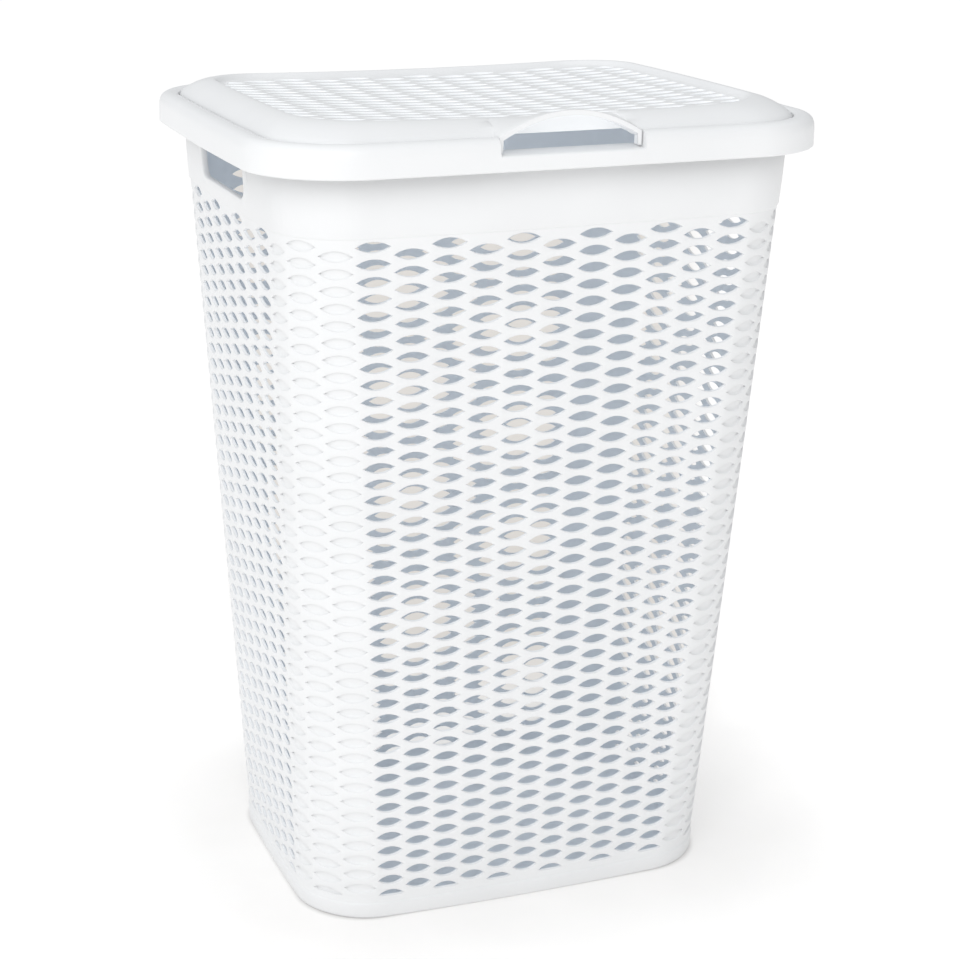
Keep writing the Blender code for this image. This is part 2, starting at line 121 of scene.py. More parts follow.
LID_WALL, LID_LIFT = 0.0022, 0.0003
LID_START = GAP_INSET + 0.0012        # the lid's edge, in from the skirt's face
BORDER_SHARES = 0.06, 0.16, 0.30, 0.46, 0.64, 0.82, 0.94, 1.0
BORDER_CURVE = 0.8
CREST_ROUNDING = (0.996, 0.0003), (0.990, 0.0012), (0.984, 0.0029)    # (share of the crest's outline, drop)
LID_PITCH, LID_ROW, LID_ROWS = 0.0252, 0.0152, 16
LID_COLUMNS = range(-6, 7)
LID_TIP, LID_RISE = 0.47, 0.28        # half a slot, in columns and in rows
LEAST_SLOT = 0.007, 0.0030            # slots that the border leaves shorter or lower are left out
SLOT_SAMPLES, SLOT_CLOSED = 161, 0.0004
PANEL_SHARE, PANEL_BORDER = 0.975, 0.0016

HINGE_X, AXIS_INSET = 0.105, 0.0085
BORE_RADIUS, KNUCKLE_RADIUS, KNUCKLE_HALF = 0.0019, 0.0034, 0.0068
SEAT_HALF, SEAT_FLOOR_Z, SEAT_TOP_Z = 0.0085, 0.5612, 0.5800
SEAT_INSET, SEAT_BEHIND_AXIS = 0.0160, 0.0043
BLOCK_HALF, BORE_IN_BLOCK_HALF, BORE_IN_KNUCKLE_HALF = 0.015, 0.017, 0.0090
BLOCK_SECTION = ((0.0132, 0.5561), (0.0132, 0.5694), (0.0060, 0.5699), (0.0030, 0.5676),
                 (0.0014, 0.5641), (0.0014, 0.5561))    # block round each seat, as (inset, z)
ARM_UNDER, ARM_OVER, ARM_HALF, ARM_END, ARM_OVERLAP = 0.0016, 0.0014, 0.0070, 0.0010, 0.0015

# ---- floor, light and camera ----------------------------------------------------------------------
AZIMUTH, ELEVATION = math.radians(19.605), math.radians(17.448)
BACK = Vector((-math.sin(AZIMUTH) * math.cos(ELEVATION), -math.cos(AZIMUTH) * math.cos(ELEVATION),
               math.sin(ELEVATION)))
RIGHT = Vector((math.cos(AZIMUTH), -math.sin(AZIMUTH), 0))
CAMERA_TARGET, CAMERA_DISTANCE = Vector((-0.04293, 0, 0.29783)), 1.56009
CAMERA_LENS, CAMERA_SHIFT = 78.88, (0.0652, -0.0060)
KEY_PLACE, KEY_SIZE, KEY_POWER = Vector((-1.02, -1.90, 1.60)), (1.6, 1.6), 19
DOME = (BACK, 0.63, 0.90), (RIGHT, 1.06, 0.54), (Vector((0, 0, 1)), 0.48, 1.46)    # strengths: away, towards
DOME_COLOUR = (0.97, 0.985, 1.0, 1)
FLOOR_HALF, FLOOR_CLEARANCE, FLOOR_GLOW = 30, 0.0003, (0.53, 0.53, 0.53, 1)
SHADE = (0.006, 0.45), (0.20, 0.66)   # the floor's shade at the basket's foot, as (reach, least)
# Painted shadow: a wedge of darker, warmer floor glow behind the hamper, where a front light's shadow would
# fall.
SHADOW_WEDGE_ORIGIN = (-1.53 * math.sin(AZIMUTH), -1.53 * math.cos(AZIMUTH), 0)
SHADOW_WEDGE_SLOPES = (-0.135, -0.100), (0.122, 0.092)    # sides of the painted shadow behind the hamper, a darker and warmer area of the floor
SHADOW_WEDGE_REACHES = (1.62, 1.95), (7.0, 4.5)           # and where it begins and ends
SHADOW_WEDGE_GLOW = (0.22, 0.195, 0.165, 1)


# ---- outlines -------------------------------------------------------------------------------------
def quarter_point(length, half_x, half_y, radius):
    """Point and inward normal at an arc length along a quarter outline, from the front's middle."""
    flat_x, flat_y = half_x - radius, half_y - radius
    turn = np.clip((length - flat_x) / radius, 0, math.pi / 2)
    after = np.maximum(length - flat_x - radius * math.pi / 2, 0)
    x = np.minimum(length, flat_x) + radius * np.sin(turn)
    y = -flat_y - radius * np.cos(turn) + after
    return x, y, -np.sin(turn), np.cos(turn)


def bowed(x, y, half_x, half_y, bow_x=BOW_X, bow_y=BOW_Y):
    return (x * (1 + bow_x / half_x * (1 - (y / half_y) ** 2)),
            y * (1 + bow_y / half_y * (1 - (x / half_x) ** 2)))


def row_z(s):
    """Height of the lattice's row coordinate s."""
    return LATTICE_TOP_Z - s * ROW - ROW_DRIFT * (s - ROWS / 2) ** 2


def side_bow(z):
    """Bulge of the short sides: the rim's own where it holds the basket, more below it."""
    ending = np.clip((BULGE_START_Z - z) / (BULGE_START_Z - BULGE_FULL_Z), 0, 1)
    return BOW_X + SIDE_BULGE * np.where(z > BULGE_FULL_Z, ending, z / BULGE_FULL_Z)


def sizes_at(z):
    """Half sizes, corner radius and backward shift of the basket's outline at height z."""
    share = z / SKIRT_Z
    return (BASE_HALF_X + (TOP_HALF_X - BASE_HALF_X) * share,
            BASE_HALF_Y + (TOP_HALF_Y - BASE_HALF_Y) * share,
            BASE_RADIUS + (TOP_RADIUS - BASE_RADIUS) * share,
            BASE_SHIFT_Y * np.maximum(1 - share, 0))


def wall_point(column, z, depth):
    """A point on the basket: column coordinate 0..48 round it from the front's middle, z, depth in."""
    column = np.mod(column, COLUMNS)
    left = column > COLUMNS / 2
    half = np.where(left, COLUMNS - column, column)
    back = half > COLUMNS / 4
    quarter = np.where(back, COLUMNS / 2 - half, half)
    half_x, half_y, radius, shift = sizes_at(z)
    down = (LATTICE_TOP_Z - z) / (ROW * (ROWS - 1))
    front = FRONT_PITCH[0] + (FRONT_PITCH[1] - FRONT_PITCH[0]) * down
    side = SIDE_PITCH[0] + (SIDE_PITCH[1] - SIDE_PITCH[0]) * down
    total = half_x + half_y - 2 * radius + radius * math.pi / 2
    start, end = 5.5 * front, total - 3.5 * side
    length = np.where(
        quarter < 5.5, quarter * front,
        np.where(quarter > 8.5, total - (12 - quarter) * side,
                 start + (quarter - 5.5) / 3 * (end - start)))
    x, y, nx, ny = quarter_point(length, half_x, half_y, radius)
    swell = np.clip((BULGE_START_Z - z) / (BULGE_START_Z - BULGE_FULL_Z), 0, 1)
    bow_y = BOW_Y + np.where(back, 0, FRONT_BULGE) * swell
    x, y = bowed(x, y, half_x, half_y, side_bow(z), bow_y)
    x, y = x + nx * depth, y + ny * depth
    return np.stack([np.where(left, -x, x), np.where(back, -y, y) + shift, z], axis=-1)


# ---- meshes ---------------------------------------------------------------------------------------
class Faces:
    """Collects faces whose corners merge where they meet."""

    def __init__(self):
        self.groups = []

    def add(self, corners, finish=0):
        """corners is an array of faces x corners x 3."""
        self.groups.append((np.asarray(corners, float), finish))

    def strip(self, lower, upper, finish=0, closed=True):
        """Quads between two rings of points."""
        lower, upper = np.asarray(lower, float), np.asarray(upper, float)
        if closed:
            lower = np.concatenate([lower, lower[:1]])
            upper = np.concatenate([upper, upper[:1]])
        self.add(np.stack([lower[:-1], lower[1:], upper[1:], upper[:-1]], axis=1), finish)

    def mesh(self, name):
        points = np.concatenate([group.reshape(-1, 3) for group, _ in self.groups])
        keys = np.round(points * 1e6).astype(np.int64)
        _, first, inverse = np.unique(keys, axis=0, return_index=True, return_inverse=True)
        inverse = inverse.reshape(-1)
        faces, finishes, start = [], [], 0
        for group, finish in self.groups:
            count = group.shape[0] * group.shape[1]
            block = inverse[start:start + count].reshape(group.shape[:2]).tolist()
            start += count
            for face in block:
                kept = [v for i, v in enumerate(face) if v != face[i - 1]]
                if len(set(kept)) == len(kept) > 2:
                    faces.append(kept)
                    finishes.append(finish)
        mesh = bpy.data.meshes.new(name)
        mesh.from_pydata(points[first].tolist(), [], faces)
        mesh.polygons.foreach_set("material_index", finishes)
        return mesh


def tidy_normals(mesh):
    """Closes the pinholes that booleans leave, and turns every face outwards."""
    data = bmesh.new()
    data.from_mesh(mesh)
    gaps = [edge for edge in data.edges if len(edge.link_faces) == 1]
    bmesh.ops.holes_fill(data, edges=gaps, sides=4)
    bmesh.ops.recalc_face_normals(data, faces=data.faces)
    data.to_mesh(mesh)
    data.free()


def place_tool(name, faces):
    """A bare object made of the collected faces, for a boolean."""
    mesh = faces.mesh(name)
    tidy_normals(mesh)
    obj = bpy.data.objects.new(name, mesh)
    bpy.context.scene.collection.objects.link(obj)
    return obj


def tool_between(name, near, far):
    """A closed tool between two rings of points."""
    faces = Faces()
    faces.strip(near, far)
    faces.add(near[None])
    faces.add(far[None])
    return place_tool(name, faces)


def add_piece(name, mesh, finishes, sharp=40):
    if not mesh.materials:
        for finish in finishes:
            mesh.materials.append(finish)
    mesh.shade_smooth()
    mesh.set_sharp_from_angle(angle=math.radians(sharp))
    obj = bpy.data.objects.new(name, mesh)
    bpy.context.scene.collection.objects.link(obj)
    return obj


def evaluated_mesh(obj, name):
    graph = bpy.context.evaluated_depsgraph_get()
    mesh = bpy.data.meshes.new_from_object(obj.evaluated_get(graph))
    mesh.name = name
    return mesh


def boolean(target, tool, operation):
    change = target.modifiers.new(operation, "BOOLEAN")
    change.operation = operation
    change.solver = "EXACT"
    change.object = tool


# ---- basket ---------------------------------------------------------------------------------------
TAU = np.linspace(-1, 1, SLOT_STEPS + 1)
EDGE_TIP = 0.488
EMPTY = np.zeros((0, 4, 3))


def lens(tip, rise, depth, side, cut=9.0):
    """One side of a slot's outline as (u, s, depth); cut flattens it."""
    s = np.minimum(rise * (1 - TAU ** 2), cut)
    return np.stack([tip * TAU, side * s, np.full(len(TAU), depth)], axis=-1)


def row(s, depth):
    """A line across a column at height s, with its stations and both column edges."""
    u = np.concatenate([[-0.5], EDGE_TIP * TAU, [0.5]])
    return np.stack([u, np.full(len(u), s), np.full(len(u), depth)], axis=-1)


def between(first, second):
    return np.stack([first[:-1], first[1:], second[1:], second[:-1]], axis=1)


def slot_cell(pierced, upper=-0.5, lower=0.5, cut=9.0):
    """Faces of one cell for the outer and inner finish and the slot's edge, as (u, s, depth) corners."""
    outside, inside, edges = [], [], []
    inner = WALL
    for side, limit in ((-1, upper), (1, lower)):
        flat = cut if side == 1 else 9.0
        start = lens(EDGE_TIP, SLOT_RISE + 0.062, 0.0, side, flat + 0.062)
        middle = lens(0.475, SLOT_RISE + 0.018, 0.00018, side, flat + 0.018)
        edge = lens(SLOT_TIP, SLOT_RISE, 0.00072, side, flat)
        web = np.concatenate([[[-0.5, 0, 0]], start, [[0.5, 0, 0]]])
        outside += [between(row(limit, 0.0), web), between(start, middle), between(middle, edge)]
        if pierced:
            deep = lens(SLOT_TIP - 0.006, SLOT_RISE - 0.012, inner, side, flat - 0.012)
            edges.append(between(edge, deep))
            web = np.concatenate([[[-0.5, 0, inner]], deep, [[0.5, 0, inner]]])
            inside.append(between(row(limit, inner), web))
        else:
            share = 0.97 if side == -1 else 0.45
            deep = lens(SLOT_TIP - 0.004, SLOT_RISE * share, DIMPLE, side, flat - 0.02)
            centre = deep * (1, 0, 1)
            outside += [between(edge, deep), between(deep, centre)]
            inside.append(between(row(limit, inner), row(0, inner)))
    return np.concatenate(outside), np.concatenate(inside), np.concatenate(edges or [EMPTY])


def plain_cell(upper, lower):
    return between(row(upper, 0.0), row(lower, 0.0)), between(row(upper, WALL), row(lower, WALL)), EMPTY


def lattice(faces):
    """The slotted zone: every other column stands half a row lower; corner columns have dimples."""
    for column in range(COLUMNS):
        quarter = min(column % 24, 24 - column % 24)
        pierced = not 5.5 < quarter < 8.5
        first = 0.0 if column % 2 else 0.5
        count = ROWS if column % 2 else ROWS - 1
        cells = []
        if column % 2 == 0:
            cells += [(plain_cell(LATTICE_START, 0.0), 0.0), (plain_cell(41.0, LATTICE_END), 0.0)]
        inner_cell = slot_cell(pierced)
        for number in range(count):
            middle = first + number
            cell = inner_cell
            if column % 2 and number == 0:
                cell = slot_cell(pierced, upper=LATTICE_START)
            if column % 2 and number == count - 1:
                cell = slot_cell(pierced, lower=LATTICE_END - middle, cut=0.08)
            cells.append((cell, middle))
        # Finish 0 is the outer face, 1 the inner face in painted blue shade, 2 the slot edges with painted
        # glow.
        for finish in (0, 1, 2):
            block = np.concatenate([cell[finish] + (0, middle, 0) for cell, middle in cells])
            z = row_z(block[..., 1])
            faces.add(wall_point(column + block[..., 0], z, STEP + block[..., 2]), finish)


def stations():
    return np.concatenate([column + row(0, 0)[:-1, 0] for column in range(COLUMNS)])


def ring(z, depth):
    columns = stations()
    return wall_point(columns, np.full(len(columns), z), np.full(len(columns), depth))


def rings(faces, profile, finish):
    made = [ring(z, depth) for z, depth in profile]
    for lower, upper in zip(made, made[1:]):
        faces.strip(lower, upper, finish)
    return made


def side_point(y, z, depth, sign):
    """A point on a short side, depth in from its face."""
    half_x, half_y, _, shift = sizes_at(z)
    x = half_x + side_bow(z) * (1 - ((y - shift) / half_y) ** 2) - depth
    return np.stack([sign * x, y, z], axis=-1)


def hole_outline(offset, above=0.38, steps=8):
    """(y, z) points round the hand hole, offset outwards; less so above it."""
    half, low, high = HOLE_HALF, HOLE_LOW_Z, HOLE_HIGH_Z
    points = []
    small = HOLE_TOP_RADIUS
    for cy, cz, radius, start in ((half - small, high - small, small, 0),
                                  (-half + small, high - small, small, 90),
                                  (-half + HOLE_RADIUS, low + HOLE_RADIUS, HOLE_RADIUS, 180),
                                  (half - HOLE_RADIUS, low + HOLE_RADIUS, HOLE_RADIUS, 270)):
        for angle in np.radians(np.linspace(start, start + 90, steps + 1)):
            out = offset * (above if math.sin(angle) > 0.5 else 1.0)
            points.append((cy + (radius + offset) * math.cos(angle),
                           cz + (radius + out) * math.sin(angle)))
    return np.array(points)


def hole_frame(name, sign):
    """Raised frame round a hand hole, with a lip that turns inwards."""
    faces = Faces()
    made = []
    for offset, depth in HOLE_FRAME:
        outline = hole_outline(offset)
        made.append(side_point(outline[:, 0], outline[:, 1], depth, sign))
    for lower, upper in zip(made, made[1:] + made[:1]):
        faces.strip(lower, upper)
    return place_tool(name, faces)


def hole_cutter(name, sign):
    outline = hole_outline(0.0010)
    return tool_between(name, *(np.column_stack([np.full(len(outline), sign * x), outline])
                                for x in (TOP_HALF_X - HOLE_CUT, TOP_HALF_X + HOLE_CUT)))


def upper_band(lattice_z):
    """The plain band above the slots with its two framed hand holes, as a mesh open underneath."""
    faces = Faces()
    inner_low = STEP + WALL
    outside = ((lattice_z, STEP), (lattice_z + 0.0006, STEP - 0.0001), (lattice_z + 0.0012, 0.0003),
               (lattice_z + 0.0019, 0.0), (0.530, 0.0), (BODY_TOP_Z - 0.0006, 0.0),
               (BODY_TOP_Z, 0.0006), (BODY_TOP_Z, WALL - 0.0006), (BODY_TOP_Z - 0.0006, WALL),
               (0.530, WALL), (lattice_z + 0.0030, WALL + 0.0003), (lattice_z, inner_low))
    made = [ring(z, depth) for z, depth in outside]
    # Rings 8 to 10 face inwards and take finish 1, the painted blue shade.
    for number, (lower, upper) in enumerate(zip(made, made[1:] + made[:1])):
        faces.strip(lower, upper, 1 if 8 <= number <= 10 else 0)
    mesh = faces.mesh("upper_band")
    tidy_normals(mesh)
    band = bpy.data.objects.new("upper_band", mesh)
    bpy.context.scene.collection.objects.link(band)
    for finish in (BASKET, SHADED_INSIDE):
        mesh.materials.append(finish)
    tools = []
    for side, sign in (("left", -1), ("right", 1)):
        cutter, lip = hole_cutter("cut_" + side, sign), hole_frame("lip_" + side, sign)
        for tool in (cutter, lip):
            for finish in (BASKET, SHADED_INSIDE):
                tool.data.materials.append(finish)
        boolean(band, cutter, "DIFFERENCE")
        boolean(band, lip, "UNION")
        tools += [cutter, lip]
    result = evaluated_mesh(band, "upper_band_cut")
    for obj in [band, *tools]:
        bpy.data.objects.remove(obj, do_unlink=True)
    return result


def basket():
    faces = Faces()
    lattice(faces)
    end_z = row_z(LATTICE_END)
    bottom = rings(faces, ((end_z, STEP), (end_z - 0.0004, STEP - 0.0002), (end_z - 0.0010, 0.0002),
                           (end_z - 0.0018, 0.0), (0.0080, 0.0), (0.0022, 0.0), (0.0007, 0.0004),
                           (0.0, 0.0014), (0.0, 0.0060)), 0)
    faces.add(bottom[-1][None], 0)
    inner = STEP + WALL
    # The inner wall and floor at the base take finish 1, the painted blue shade.
    top = rings(faces, ((end_z, inner), (0.0100, inner + 0.0002), (0.0060, inner + 0.0012),
                        (0.0040, inner + 0.0030), (0.0030, inner + 0.0060)), 1)
    faces.add(top[-1][None], 1)
    mesh = faces.mesh("basket")
    data = bmesh.new()
    data.from_mesh(mesh)
    start_z = row_z(LATTICE_START)
    data.from_mesh(upper_band(start_z))
    under = [face for face in data.faces
             if all(abs(vertex.co.z - start_z) < 1e-5 for vertex in face.verts)]
    bmesh.ops.delete(data, geom=under, context="FACES")
    bmesh.ops.remove_doubles(data, verts=data.verts, dist=1e-5)
    data.to_mesh(mesh)
    data.free()
    tidy_normals(mesh)
    return add_piece("basket", mesh, (BASKET, SHADED_INSIDE, BASKET_EDGE_GLOW), sharp=50)


# ---- rim ------------------------------------------------------------------------------------------
def outline(half_x, half_y, radius, front, corner_steps=18, flat_steps=14):
    """Points and inward normals round a bowed rounded rectangle; front gives x of the front's points."""
    flat_x, flat_y = half_x - radius, half_y - radius
    flat = np.linspace(-1, 1, flat_steps + 1)
    corner = np.linspace(0, math.pi / 2, corner_steps + 1)[1:-1]
    parts = []
    parts.append([(x, -half_y, 0, 1) for x in front])
    parts.append([(flat_x + radius * math.sin(a), -flat_y - radius * math.cos(a),
                   -math.sin(a), math.cos(a)) for a in corner])
    parts.append([(half_x, f * flat_y, -1, 0) for f in flat])
    parts.append([(flat_x + radius * math.cos(a), flat_y + radius * math.sin(a),
                   -math.cos(a), -math.sin(a)) for a in corner])
    parts.append([(-f * flat_x, half_y, 0, -1) for f in flat])
    parts.append([(-flat_x - radius * math.sin(a), flat_y + radius * math.cos(a),
                   math.sin(a), -math.cos(a)) for a in corner])
    parts.append([(-half_x, -f * flat_y, 1, 0) for f in flat])
    parts.append([(-flat_x - radius * math.cos(a), -flat_y - radius * math.sin(a),
                   math.cos(a), math.sin(a)) for a in corner])
    points = np.array([p for part in parts for p in part])
    x, y = bowed(points[:, 0], points[:, 1], half_x, half_y)
    return np.column_stack([x, y]), points[:, 2:]


def front_stations(extra):
    flat = RIM_HALF_X - RIM_RADIUS
    values = {round(v, 6) for v in np.linspace(-flat, flat, 19)}
    values = {v for v in values if all(abs(abs(v) - e) > 0.0012 for e in extra)}
    return np.array(sorted(values | {s * e for e in extra for s in (-1, 1)}))


def rim_profile(low_top, low_hollow):
    low = LEDGE_Z
    under = BODY_TOP_Z + 0.0003
    top = [(0.0, 0.5600), (0.0, 0.5630), (0.0004, 0.5655), (0.0014, 0.5680), (0.0030, 0.5697),
           (0.0050, 0.5708), (0.0080, 0.5712), (0.0110, 0.5709), (0.0134, 0.5703), (0.0141, 0.5698),
           (GAP_INSET, 0.5690), (GAP_INSET, low)]
    if low_top:
        top = [(0.0, low - 0.0020), (0.0, low - 0.0016), (0.0001, low - 0.0012), (0.0004, low - 0.0008),
               (0.0009, low - 0.0005), (0.0016, low - 0.0003), (0.0050, low - 0.0002),
               (0.0080, low - 0.0001), (0.0110, low - 0.0001), (0.0130, low), (0.0137, low),
               (GAP_INSET, low)]
    channel = [(0.0234, low), (0.0240, low - 0.0006), (0.0240, 0.5521), (0.0234, 0.5515),
               (0.0220, 0.5515), (0.0214, 0.5521), (0.0214, under), (0.0175, under), (0.0175, 0.5515),
               (0.0152, 0.5515), (0.0150, under)]
    hollow = [(0.0120, under), (0.0120, 0.5685), (0.0070, 0.5690), (0.0038, 0.5672), (0.0025, 0.5640)]
    if low_hollow:
        hollow = [(0.0120, under - 0.0002), (0.0100, under - 0.0002), (0.0070, under - 0.0002),
                  (0.0038, under - 0.0002), (0.0025, under - 0.0012)]
    skirt = [(0.0025, SKIRT_Z + 0.0007), (0.0019, SKIRT_Z + 0.0001), (0.0008, SKIRT_Z),
             (0.0, SKIRT_Z + 0.0008)]
    return np.array(top + channel + hollow + skirt)


def rim():
    wall, blend = NOTCH_HALF + NOTCH_WALL, NOTCH_BLEND
    extra = (NOTCH_HALF, NOTCH_HALF + blend, wall, wall + blend)
    points, normals = outline(RIM_HALF_X, RIM_HALF_Y, RIM_RADIUS, front_stations(extra))
    faces = Faces()
    profiles = []
    for point, normal in zip(points, normals):
        across = abs(point[0]) if normal[1] > 0.99 else 1.0
        profiles.append(rim_profile(across < NOTCH_HALF + blend / 2, across < wall + blend / 2))
    made = []
    for number in range(len(profiles[0])):
        inset = np.array([p[number][0] for p in profiles])[:, None]
        z = np.array([p[number][1] for p in profiles])
        made.append(np.column_stack([points + normals * inset, z]))
    for lower, upper in zip(made, made[1:] + made[:1]):
        faces.strip(lower, upper)
    mesh = faces.mesh("rim")
    tidy_normals(mesh)
    obj = add_piece("rim", mesh, (COLLAR,))
    axis_y = HINGE["pos_m"][1]
    outer = axis_y + AXIS_INSET
    front_y, back_y = outer - SEAT_INSET, axis_y + SEAT_BEHIND_AXIS
    tools = []
    for sign in (-1, 1):
        x = sign * HINGE_X
        block = prism([(outer - inset, z) for inset, z in BLOCK_SECTION], x, BLOCK_HALF)
        seat = prism([(front_y, SEAT_FLOOR_Z), (back_y, SEAT_FLOOR_Z), (back_y, SEAT_TOP_Z),
                      (front_y, SEAT_TOP_Z)], x, SEAT_HALF)
        bore = prism(axis_circle(BORE_RADIUS), x, BORE_IN_BLOCK_HALF)
        boolean(obj, block, "UNION")
        boolean(obj, seat, "DIFFERENCE")
        boolean(obj, bore, "DIFFERENCE")
        tools += [block, seat, bore]
    return settle(obj, tools, "rim", (COLLAR,))


def axis_circle(radius):
    """(y, z) points of a circle round the hinge's axis."""
    axis_y, axis_z = HINGE["pos_m"][1:]
    return [(axis_y + radius * math.cos(a), axis_z + radius * math.sin(a))
            for a in np.radians(np.arange(0, 360, 15))]


def prism(section, middle_x, half):
    """A closed tool with the given (y, z) section, half a length to either side of middle_x."""
    section = np.array(section, float)
    return tool_between("tool", *(np.column_stack([np.full(len(section), x), section])
                                  for x in (middle_x - half, middle_x + half)))


def settle(obj, tools, name, finishes, sharp=40):
    """Applies the booleans, drops the tools and returns the finished piece."""
    mesh = evaluated_mesh(obj, name)
    for old in [obj, *tools]:
        bpy.data.objects.remove(old, do_unlink=True)
    tidy_normals(mesh)
    return add_piece(name, mesh, finishes, sharp)


# ---- lid ------------------------------------------------------------------------------------------
def crest_z(x):
    return CREST_Z + CREST_RISE * (x / CREST_HALF_X) ** 2


def panel_z(x, y):
    sag = PANEL_SAG * (1 - (y / CREST_HALF_Y) ** 2) * (1 - (x / CREST_HALF_X) ** 2)
    return crest_z(x) - PANEL_SINK - sag


def hood_z(x):
    return HOOD_END_Z + (HOOD_APEX_Z - HOOD_END_Z) * (1 - (x / HOOD_HALF) ** 2)


def lid_sections(point, normal, crest, hood, leg):
    """Outer and inner profile of the lid's border, or of its hood, at one place round the rim."""
    foot = LEDGE_Z + LID_LIFT

    def at(distance, z):
        return (*(point + normal * distance), z)

    edge = point + normal * LID_START
    outer, inner = [], []
    if hood:
        top = hood_z(point[0])
        lip_foot = LEDGE_Z + LEG_LIFT if leg else top - HOOD_LIP
        front = point + normal * HOOD_INSET
        outer = [at(HOOD_INSET, lip_foot), at(HOOD_INSET, top - 0.0008)]
        for share in BORDER_SHARES:
            flat = front + (crest[:2] - front) * share
            z = top + (crest[2] - top) * share
            outer.append((*flat, z if share > 0.1 else z - 0.0002))
        inner = [at(HOOD_INSET + LID_WALL, lip_foot), at(HOOD_INSET + LID_WALL, top - HOOD_LIP),
                 at(0.0140, top - HOOD_LIP - 0.0003), at(0.0220, top - HOOD_LIP - 0.0006),
                 at(0.0220, 0.5705), at(0.0242, 0.5705), at(0.0242, 0.5735)]
        for share in (0.82, 0.94, 1.0):
            flat = front + (crest[:2] - front) * share
            z = top + (crest[2] - top) * share
            inner.append((*flat, z - LID_WALL))
        return outer, inner
    rise = crest[2] - RIM_Z
    outer = [at(LID_START, foot), at(LID_START, RIM_Z - 0.0008)]
    inner = [at(LID_START + LID_WALL, foot), at(LID_START + LID_WALL, RIM_Z - LID_WALL)]
    for share in BORDER_SHARES:
        flat = edge + (crest[:2] - edge) * share
        z = RIM_Z + rise * math.sin(share * math.pi / 2) ** BORDER_CURVE
        outer.append((*flat, z))
        inner.append((*flat, z - LID_WALL))
    inner[2] = at(LID_START + LID_WALL + 0.0006, RIM_Z - 0.0016)
    return outer, inner


def loop_fill(faces, boundary, holes, height, finish):
    """Fills the area between a boundary and the slots with triangles, at the height given."""
    loops = [boundary, *holes]
    points = np.concatenate(loops)
    edges, start = [], 0
    for loop in loops:
        count = len(loop)
        edges += [(start + i, start + (i + 1) % count) for i in range(count)]
        start += count
    made = delaunay_2d_cdt([Vector(p) for p in points[:, :2]], edges, [], 0, 1e-7)
    vertices = np.array([points[sources[0], :2] for sources in made[3]])
    triangles = np.array(made[2])
    centres = vertices[triangles].mean(axis=1)
    keep = inside(centres, boundary)
    for hole in holes:
        keep &= ~inside(centres, hole)
    lifted = np.column_stack([vertices, height(vertices[:, 0], vertices[:, 1])])
    faces.add(lifted[triangles[keep]], finish)


def inside(points, loop):
    x, y = points[:, 0], points[:, 1]
    found = np.zeros(len(points), bool)
    low, high = loop.min(axis=0), loop.max(axis=0)
    near = (x >= low[0]) & (x <= high[0]) & (y >= low[1]) & (y <= high[1])
    if not near.any():
        return found
    px, py = x[near], y[near]
    hit = np.zeros(len(px), bool)
    for (x1, y1), (x2, y2) in zip(loop[:, :2], np.roll(loop[:, :2], -1, axis=0)):
        if y1 != y2:
            crosses = (y1 > py) != (y2 > py)
            hit ^= crosses & (px < (x2 - x1) * (py - y1) / (y2 - y1) + x1)
    found[near] = hit
    return found


def panel_limit(x):
    """How far from the middle line the slotted area reaches at x."""
    half_x, half_y = CREST_HALF_X * PANEL_SHARE - PANEL_BORDER, CREST_HALF_Y * PANEL_SHARE - PANEL_BORDER
    radius = CREST_RADIUS * PANEL_SHARE - PANEL_BORDER
    over = np.clip(np.abs(x) - (half_x - radius), 0, radius)
    return np.where(np.abs(x) < half_x, half_y - radius + np.sqrt(radius ** 2 - over ** 2), 0)


def slot_span(x, middle_x, middle_y):
    """Lower and upper edge at x of the slot round the given middle."""
    rise = LID_RISE * LID_ROW * (1 - ((x - middle_x) / (LID_TIP * LID_PITCH)) ** 2)
    limit = panel_limit(x)
    return np.maximum(middle_y - rise, -limit), np.minimum(middle_y + rise, limit)


def panel_slots():
    """(middle x, middle y, first x, last x) of each slot in the lid's panel."""
    slots = []
    for column in LID_COLUMNS:
        count = LID_ROWS if column % 2 else LID_ROWS + 1
        for number in range(count):
            x, y = column * LID_PITCH, (number - (count - 1) / 2) * LID_ROW
            across = x + LID_TIP * LID_PITCH * np.linspace(-1, 1, SLOT_SAMPLES)
            low, high = slot_span(across, x, y)
            free = across[high - low > SLOT_CLOSED]
            if not len(free):
                continue
            if free[-1] - free[0] > LEAST_SLOT[0] and (high - low).max() > LEAST_SLOT[1]:
                slots.append((x, y, free[0], free[-1]))
    return slots


def slot_loop(slot, grow, steps=8):
    """The slot's outline, grown by a distance, anticlockwise."""
    middle_x, middle_y, first, last = slot
    across = first + (last - first) * (1 - np.cos(np.linspace(0, math.pi, steps + 1))) / 2
    low, high = slot_span(across, middle_x, middle_y)
    across[0] -= grow
    across[-1] += grow
    bottom = np.column_stack([across, low - grow])
    top = np.column_stack([across, high + grow])[::-1]
    return np.concatenate([bottom, top])


